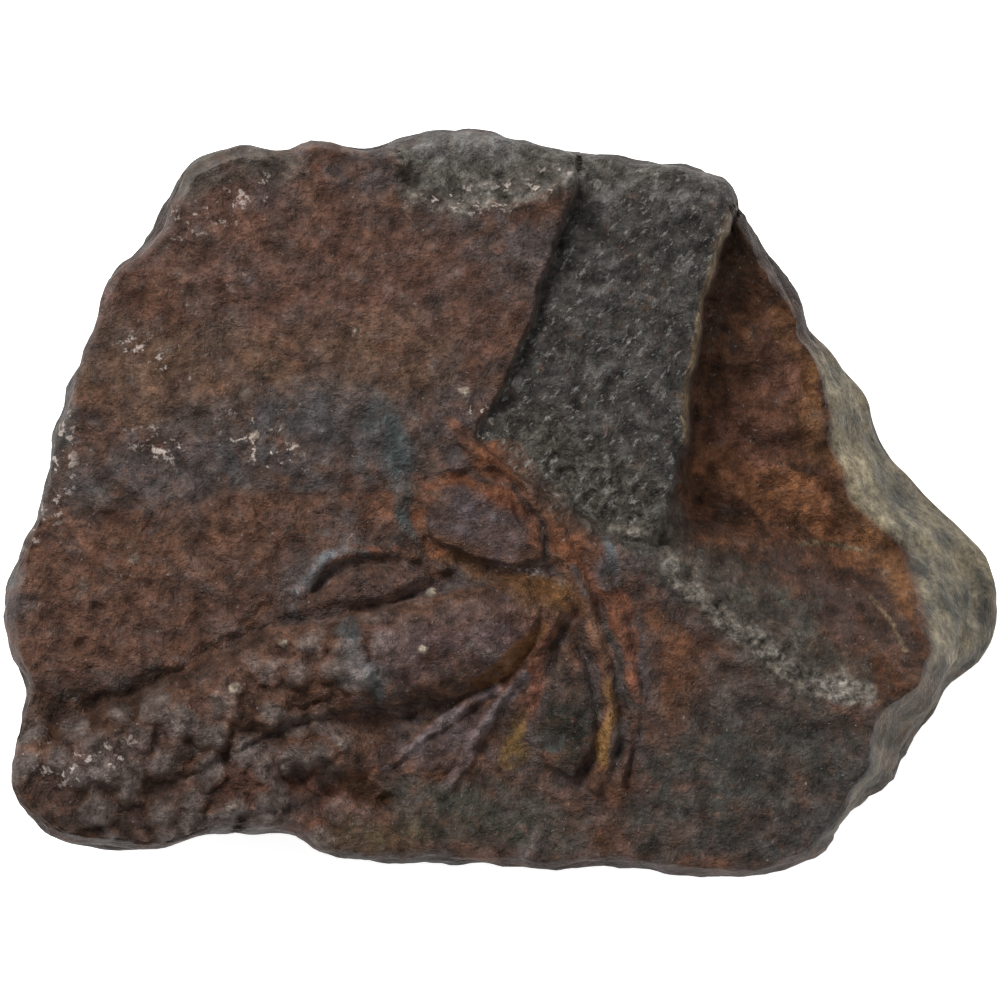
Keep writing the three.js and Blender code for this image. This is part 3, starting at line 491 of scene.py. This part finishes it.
def stone_surface(directions):
    """Points of the stone for directions of the unit ball, in mm, and what each place is."""
    azimuth = np.degrees(np.arctan2(directions[:, 1], directions[:, 0]))
    turn = np.stack([np.cos(np.radians(azimuth)), np.sin(np.radians(azimuth))], 1)
    level = directions[:, 2]
    on_top, on_base = level >= TOP_ENDS, level < SIDES_END
    width, widest_height, section = shoulder_at(azimuth)
    outer = widest_radius(azimuth)
    rim = outer - width

    radius = rim * np.sqrt(np.clip((1 - level) / (1 - TOP_ENDS), 0, 1))
    height, kinds = top_height(radius * turn[:, 0], radius * turn[:, 1])
    points = np.column_stack([radius * turn[:, 0], radius * turn[:, 1], height])

    share = np.clip((TOP_ENDS - level) / (TOP_ENDS - SIDES_END), 0, 1)
    bend = np.clip(share / WIDEST_SHARE, 0, 1) * math.pi / 2
    below = np.clip((share - WIDEST_SHARE) / (1 - WIDEST_SHARE), 0, 1)
    radius = rim + width * np.sin(bend) ** section - FLOOR_OVERHANG * below**1.6
    down = (height - widest_height) * (1 - np.clip(np.cos(bend), 0, 1) ** section)
    side_z = (height - down) * (1 - below)
    base_share = np.sqrt(np.clip((1 + level) / (1 + SIDES_END), 0, 1))
    radius = np.where(on_base, (outer - FLOOR_OVERHANG) * base_share, radius)
    side_z = np.where(on_base, 0, side_z)
    sides = np.column_stack([radius * turn[:, 0], radius * turn[:, 1], side_z])
    for faces, dip, distance in FRACTURES:
        faces, dip = math.radians(faces), math.radians(dip)
        normal = np.array(
            [math.cos(faces) * math.cos(dip), math.sin(faces) * math.cos(dip), -math.sin(dip)]
        )
        proud = np.maximum((sides - [0, 0, FRACTURE_CENTRE]) @ normal - distance, 0)
        sides = sides - proud[:, None] * normal
    fade = ease(share, 0, 0.3) * (1 - ease(share, 0.85, 1))
    sides[:, :2] += np.minimum(fade * ledges(*sides.T), 0.4)[:, None] * turn
    points[~on_top] = sides[~on_top]
    notches = 0.9 * wave(*points.T, 8) + 0.35 * wave(*points.T, 2.6) + 0.12 * wave(*points.T, 1.1) - 0.1
    notches *= ease(np.hypot(points[:, 0], points[:, 1]) / rim, 0.94, 0.99) * (1 - ease(share, 0.7, 0.9))
    points[:, :2] += notches[:, None] * turn
    points[:, 2] = np.maximum(points[:, 2], 0)

    kinds = {name: values * (1 - ease(share, 0.1, 0.4)) for name, values in kinds.items()}
    ragged = 0.06 * wave(*points.T, 11) + 0.03 * wave(*points.T, 3)
    right = ease(np.cos(np.radians(azimuth + 12)) + ragged, 0.75, 0.84)
    fresher = 0.6 * ease(-points[:, 1], 14, 20)
    kinds["weathered"] = right * ease(share, 0.02, 0.1) * (1 - fresher) * (1 - on_base)
    # The sides, which are painted darker than the top, partly the rock's own dark colour and partly
    # painted shade.
    kinds["side"] = ease(share, 0.2, 0.5)
    # The same mask of wear and painted hollow shade is raised on the lower sides and the weathered side,
    # so they come out lighter.
    kinds["worn"] += 0.6 * ease(share, 0.4, 0.6) + 0.4 * kinds["weathered"]
    stains_and_shade = stain_and_shade_colours(points[:, 0], points[:, 1])
    stains_and_shade[:, 3] *= 1 - ease(share, 0.3, 0.5)
    return points, kinds, stains_and_shade


def plan_of(directions):
    azimuth = np.degrees(np.arctan2(directions[:, 1], directions[:, 0]))
    rim = widest_radius(azimuth) - shoulder_at(azimuth)[0]
    radius = rim * np.sqrt(np.clip((1 - directions[:, 2]) / (1 - TOP_ENDS), 0, 1))
    return radius * np.cos(np.radians(azimuth)), radius * np.sin(np.radians(azimuth))


def ball_directions(bm):
    directions = np.array([vert.co[:] for vert in bm.verts])
    return directions / np.linalg.norm(directions, axis=1)[:, None]


def make_stone():
    bm = bmesh.new()
    bmesh.ops.create_icosphere(bm, subdivisions=BALL_SPLITS, radius=1)
    left, right, front, back = FOSSIL_AREA
    for _ in range(EDGE_SPLITS):
        directions = ball_directions(bm)
        x, y = plan_of(directions)
        fine = (x > left) & (x < right) & (y > front) & (y < back) & (y < 0.45 * x + 18)
        for corners in (RECESS, FALL, TOP_CHIP):
            fine |= np.abs(inside_of(corners, x, y)) < BREAK_REACH
        fine &= directions[:, 2] > TOP_ENDS
        edges = list(bm.edges)
        ends = np.array([[vert.index for vert in edge.verts] for edge in edges])
        start, end = ends[:, 0], ends[:, 1]
        length = np.hypot(x[start] - x[end], y[start] - y[end])
        both_fine = fine[start] & fine[end]
        on_top = (directions[start, 2] > TOP_ENDS) & (directions[end, 2] > TOP_ENDS)
        too_long = on_top & (length > np.where(both_fine, FINE_EDGE, PLAIN_EDGE))
        chosen = [edges[i] for i in np.nonzero(too_long)[0]]
        bmesh.ops.subdivide_edges(bm, edges=chosen, cuts=1)
        bmesh.ops.triangulate(bm, faces=[face for face in bm.faces if len(face.verts) > 3])
    points, kinds, stains_and_shade = stone_surface(ball_directions(bm))
    for vert, point in zip(bm.verts, (points * MM).tolist()):
        vert.co = point
    for face in bm.faces:
        face.smooth = True
    mesh = bpy.data.meshes.new("stone")
    bm.to_mesh(mesh)
    bm.free()
    for name, values in kinds.items():
        layer = mesh.attributes.new(name, "FLOAT", "POINT")
        layer.data.foreach_set("value", np.asarray(values, dtype=np.float32))
    layer = mesh.color_attributes.new("stains_and_shade", "FLOAT_COLOR", "POINT")
    layer.data.foreach_set("color", stains_and_shade.astype(np.float32).ravel())
    stone = bpy.data.objects.new("trilobite_stone", mesh)
    bpy.context.collection.objects.link(stone)
    return stone


def add(material, kind, output, inputs=None, **settings):
    """Adds a node, sets and links its inputs by name or number, and returns one of its outputs."""
    node = material.node_tree.nodes.new(kind)
    for name, value in settings.items():
        setattr(node, name, value)
    for name, value in (inputs or {}).items():
        if isinstance(value, bpy.types.NodeSocket):
            material.node_tree.links.new(value, node.inputs[name])
        else:
            node.inputs[name].default_value = value
    return None if output is None else node.outputs[output]


# What covers the plain bedding, with shade painted into the furrows and onto the sides, from the bottom
# up:
# the place, its dark and light colour, and the size of the patches in mm.
COVERS = [
    ("grey_bed", "#2b2a28", "#4d4b48", 1.6),
    ("chip", "#4a4844", "#8d8983", 1.3),
    ("raised", "#3f2e25", "#614536", 2),
    ("crest", "#44322a", "#6e4b39", 1.4),
    # Painted shade: this row darkens the furrows, rings and pits.
    ("furrow", "#2b1d14", "#55371f", 2),
    ("rust_face", "#38261c", "#553826", 1.8),
    # The sides' dark colour is partly the rock's own and partly painted shade.
    ("side", "#241d18", "#3c3129", 4),
]
PROUD_COVERS = [
    ("knobs", "#4b4340", "#6c635f", 1.5),
    ("hackly", "#34322e", "#6a6760", 0.9),
    # The crumbs' pale end is partly a painted highlight along the lip of the breaks.
    ("crumbs", "#45423c", "#8f8a81", 0.8),
    ("lips", "#4b3c2a", "#80705a", 0.8),
    ("weathered", "#403f38", "#8b8169", 5),
    ("grains", "#6d6358", "#b3a797", 0.8),
]


# Soft patterns: size of the lumps in mm, the noise values that become 0 and 1, detail, roughness, an
# offset that keeps them apart, and for some a turn and a stretch along each axis. Real silt is finer
# than the grain here, which is as coarse as it needs to be to show.
PATTERNS = {
    "brown": (5, 0.36, 0.62, 5, 0.6, 3),
    "purple": (2.6, 0.35, 0.65, 4, 0.6, 17),
    "purple_area": (6, 0.38, 0.6, 5, 0.7, 31),
    "beds": (1.6, 0.38, 0.62, 4, 0.65, 171, 0, (9, 9, 1)),
    "streaks": (1.3, 0.15, 0.42, 4, 0.7, 190),
    "rust": (1.6, 0.56, 0.7, 4, 0.7, 211),
    "slate": (1.9, 0.57, 0.7, 4, 0.7, 251),
    "mottle": (0.8, 0.3, 0.7, 4, 0.8, 307),
    "blotches": (2.2, 0.32, 0.6, 5, 0.7, 353),
    "scratches": (0.7, 0.57, 0.72, 3, 0.75, 331, 0.8, (2, 1, 1)),
    "pit_shade_spots": (0.9, 0.62, 0.69, 4, 0.7, 377),
    "glint_specks": (0.5, 0.64, 0.74, 3, 0.7, 401),
    "flaking": (1.2, 0.58, 0.64, 4, 0.65, 433),
    "grain": (0.45, 0, 1, 3, 0.75, 503),
    "hollows": (1.4, 0, 1, 3, 0.6, 601),
    "damp": (2.4, 0.2, 0.8, 3, 0.6, 701),
}
for first_offset, covers in ((50, COVERS), (270, PROUD_COVERS)):
    for number, (name, _, _, size) in enumerate(covers):
        PATTERNS[name + "_patches"] = (size, 0.36, 0.64, 4, 0.65, first_offset + 13 * number)

# What the colour is laid up from: how a layer blends, what its share is the product of, the pattern
# between its two ends, and the ends, as colours or as gains of red, green and blue.
LAYERS = [
    ("MIX", (1.0,), "brown", "#453126", "#624333"),
    ("MIX", ("purple_area",), "purple", "#3f3938", "#554b49"),
    *[("MIX", (name,), name + "_patches", dark, light) for name, dark, light, _ in COVERS],
    ("MULTIPLY", ("side",), "beds", (0.55, 0.53, 0.5), (1.5, 1.48, 1.45)),
    ("MIX", ("stain_and_shade_thickness", "streaks"), None, "stains_and_shade", None),
    ("MIX", ("rust", 0.25), None, "#744b36", None),
    ("MIX", ("slate", 0.35), None, "#4c4f50", None),
    *[("MIX", (name,), name + "_patches", dark, light) for name, dark, light, _ in PROUD_COVERS],
    ("MULTIPLY", (1.0,), "mottle", (0.36, 0.35, 0.34), (1.36, 1.36, 1.35)),
    ("MULTIPLY", (1.0,), "blotches", (0.6, 0.57, 0.54), (1.2, 1.19, 1.18)),
    # Painted shade: this darkens the colour in the hollows and lightens it on the crests, which is partly
    # wear.
    ("MULTIPLY", (1.0,), "worn", (0.55, 0.52, 0.5), (1.3, 1.3, 1.32)),
    ("MIX", ("grey_bed", "scratches"), None, "#767470", None),
    # Near-black spots: painted shade of small pits that the mesh does not have.
    ("MIX", ("pit_shade_spots", 0.7), None, "#1a120e", None),
    # Pale specks: painted glints.
    ("MIX", ("glint_specks", 0.6), None, "#8d8580", None),
    # Pale flecks: partly the colour of clay and quartz, partly painted glints.
    ("MIX", ("flecks_and_glints", "flaking"), None, "#bcafa6", None),
]
MASKS = ["side", "worn", "flecks_and_glints", *[row[0] for row in COVERS + PROUD_COVERS]]
BED_RELIEF = 1.2  # how much the beds show in the relief of the sides, next to the grain
RELIEF_DEPTH = 0.7  # mm
DULLNESS = (0.42, 0.72)


def rgba(colour):
    return linear(colour) if isinstance(colour, str) else (*colour, 1)


def iron_stained_mudstone():
    """Split mudstone: a dull, fine-grained break, brown where iron has soaked it, grey where it is
    fresher, and pale where it has weathered to clay. Its grain is fine silt, with coarser sand."""
    stone = bpy.data.materials.new("iron_stained_mudstone")
    stone.use_nodes = True
    stone.node_tree.nodes.clear()
    place = add(stone, "ShaderNodeTexCoord", "Object")
    mm = add(stone, "ShaderNodeMapping", "Vector", {"Vector": place, "Scale": (1 / MM,) * 3})

    made = {name: add(stone, "ShaderNodeAttribute", "Fac", attribute_name=name) for name in MASKS}
    made["stains_and_shade"] = add(stone, "ShaderNodeAttribute", "Color", attribute_name="stains_and_shade")
    made["stain_and_shade_thickness"] = add(stone, "ShaderNodeAttribute", "Alpha", attribute_name="stains_and_shade")
    for name, (size, low, high, detail, roughness, offset, *turned) in PATTERNS.items():
        turn, stretch = turned or (0, (1, 1, 1))
        moved = add(
            stone, "ShaderNodeMapping", "Vector",
            {"Vector": mm, "Location": (offset,) * 3, "Rotation": (0, 0, turn), "Scale": stretch},
            vector_type="TEXTURE",
        )
        lumps = add(
            stone, "ShaderNodeTexNoise", "Fac",
            {"Vector": moved, "Scale": 1 / size, "Detail": detail, "Roughness": roughness},
        )
        made[name] = add(
            stone, "ShaderNodeMapRange", "Result", {"Value": lumps, "From Min": low, "From Max": high}
        )

    colour = rgba("#000000")
    for blend, shares, pattern, dark, light in LAYERS:
        share, *others = [made.get(part, part) for part in shares]
        for other in others:
            share = add(stone, "ShaderNodeMath", "Value", {0: share, 1: other}, operation="MULTIPLY")
        over = made["stains_and_shade"] if dark == "stains_and_shade" else rgba(dark)
        if pattern:
            ends = {0: made[pattern], 6: over, 7: rgba(light)}
            over = add(stone, "ShaderNodeMix", 2, ends, data_type="RGBA")
        laid = {0: share, 6: colour, 7: over}
        colour = add(stone, "ShaderNodeMix", 2, laid, data_type="RGBA", blend_type=blend)

    pitted = add(
        stone, "ShaderNodeMath", "Value", {0: made["grain"], 1: made["hollows"]}, operation="ADD"
    )
    bedded = add(
        stone, "ShaderNodeMath", "Value", {0: made["side"], 1: made["beds"]}, operation="MULTIPLY"
    )
    relief = add(
        stone, "ShaderNodeMath", "Value", {0: bedded, 1: BED_RELIEF, 2: pitted}, operation="MULTIPLY_ADD"
    )
    bump = add(
        stone, "ShaderNodeBump", "Normal",
        {"Height": relief, "Strength": 1.0, "Distance": RELIEF_DEPTH * MM},
    )
    dull = add(
        stone, "ShaderNodeMapRange", "Result",
        {"Value": made["damp"], "To Min": DULLNESS[0], "To Max": DULLNESS[1]},
    )
    shader = add(
        stone, "ShaderNodeBsdfPrincipled", "BSDF",
        {"Base Color": colour, "Roughness": dull, "Normal": bump, "IOR": 1.5,
         "Specular IOR Level": 0.15},
    )
    add(stone, "ShaderNodeOutputMaterial", None, {"Surface": shader})
    return stone


def white_card():
    """Smooth matt white card under the stone."""
    card = bpy.data.materials.new("matt_white_card")
    card.use_nodes = True
    shader = card.node_tree.nodes["Principled BSDF"]
    shader.inputs["Base Color"].default_value = linear("#f8f8f8")
    shader.inputs["Roughness"].default_value = 0.9
    shader.inputs["Emission Color"].default_value = linear("#ffffff")
    shader.inputs["Emission Strength"].default_value = 0.6
    return card


FLOOR_HALF_WIDTH = 1.5


def make_floor():
    bm = bmesh.new()
    bmesh.ops.create_grid(bm, x_segments=1, y_segments=1, size=FLOOR_HALF_WIDTH)
    mesh = bpy.data.meshes.new("floor")
    bm.to_mesh(mesh)
    bm.free()
    floor = bpy.data.objects.new("floor", mesh)
    floor.data.materials.append(white_card())
    bpy.context.collection.objects.link(floor)
    return floor


def add_softbox(name, place, size, power):
    """A square lamp that points at the stone."""
    data = bpy.data.lights.new(name, "AREA")
    data.shape = "SQUARE"
    data.size = size
    data.energy = power
    lamp = bpy.data.objects.new(name, data)
    lamp.location = place
    lamp.rotation_euler = (Vector((0, 0, 0.03)) - Vector(place)).to_track_quat("-Z", "Y").to_euler()
    bpy.context.collection.objects.link(lamp)


stone = make_stone()
stone.data.materials.append(iron_stained_mudstone())
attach(stone, "root")
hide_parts("fossil_stone")
make_floor()

add_softbox("key_softbox", (-0.45, 0.65, 0.75), 0.5, 18)
add_softbox("fill_softbox", (0.6, -0.3, 0.9), 0.8, 2.5)
world = bpy.data.worlds.new("studio")
world.use_nodes = True
world.node_tree.nodes["Background"].inputs["Color"].default_value = linear("#ffffff")
world.node_tree.nodes["Background"].inputs["Strength"].default_value = 0.55
bpy.context.scene.world = world
bpy.context.scene.view_settings.view_transform = "Standard"

camera_data = bpy.data.cameras.new("camera")
camera_data.sensor_width = 36
camera_data.lens = 359.3  # 100.2 mm of the bedding plane, a metre away, fills the frame
camera_data.clip_start = 0.01
camera = bpy.data.objects.new("camera", camera_data)
camera.location = (0.1 * MM, 0.1 * MM, BEDDING_HEIGHT * MM + 1)
bpy.context.collection.objects.link(camera)
bpy.context.scene.camera = camera
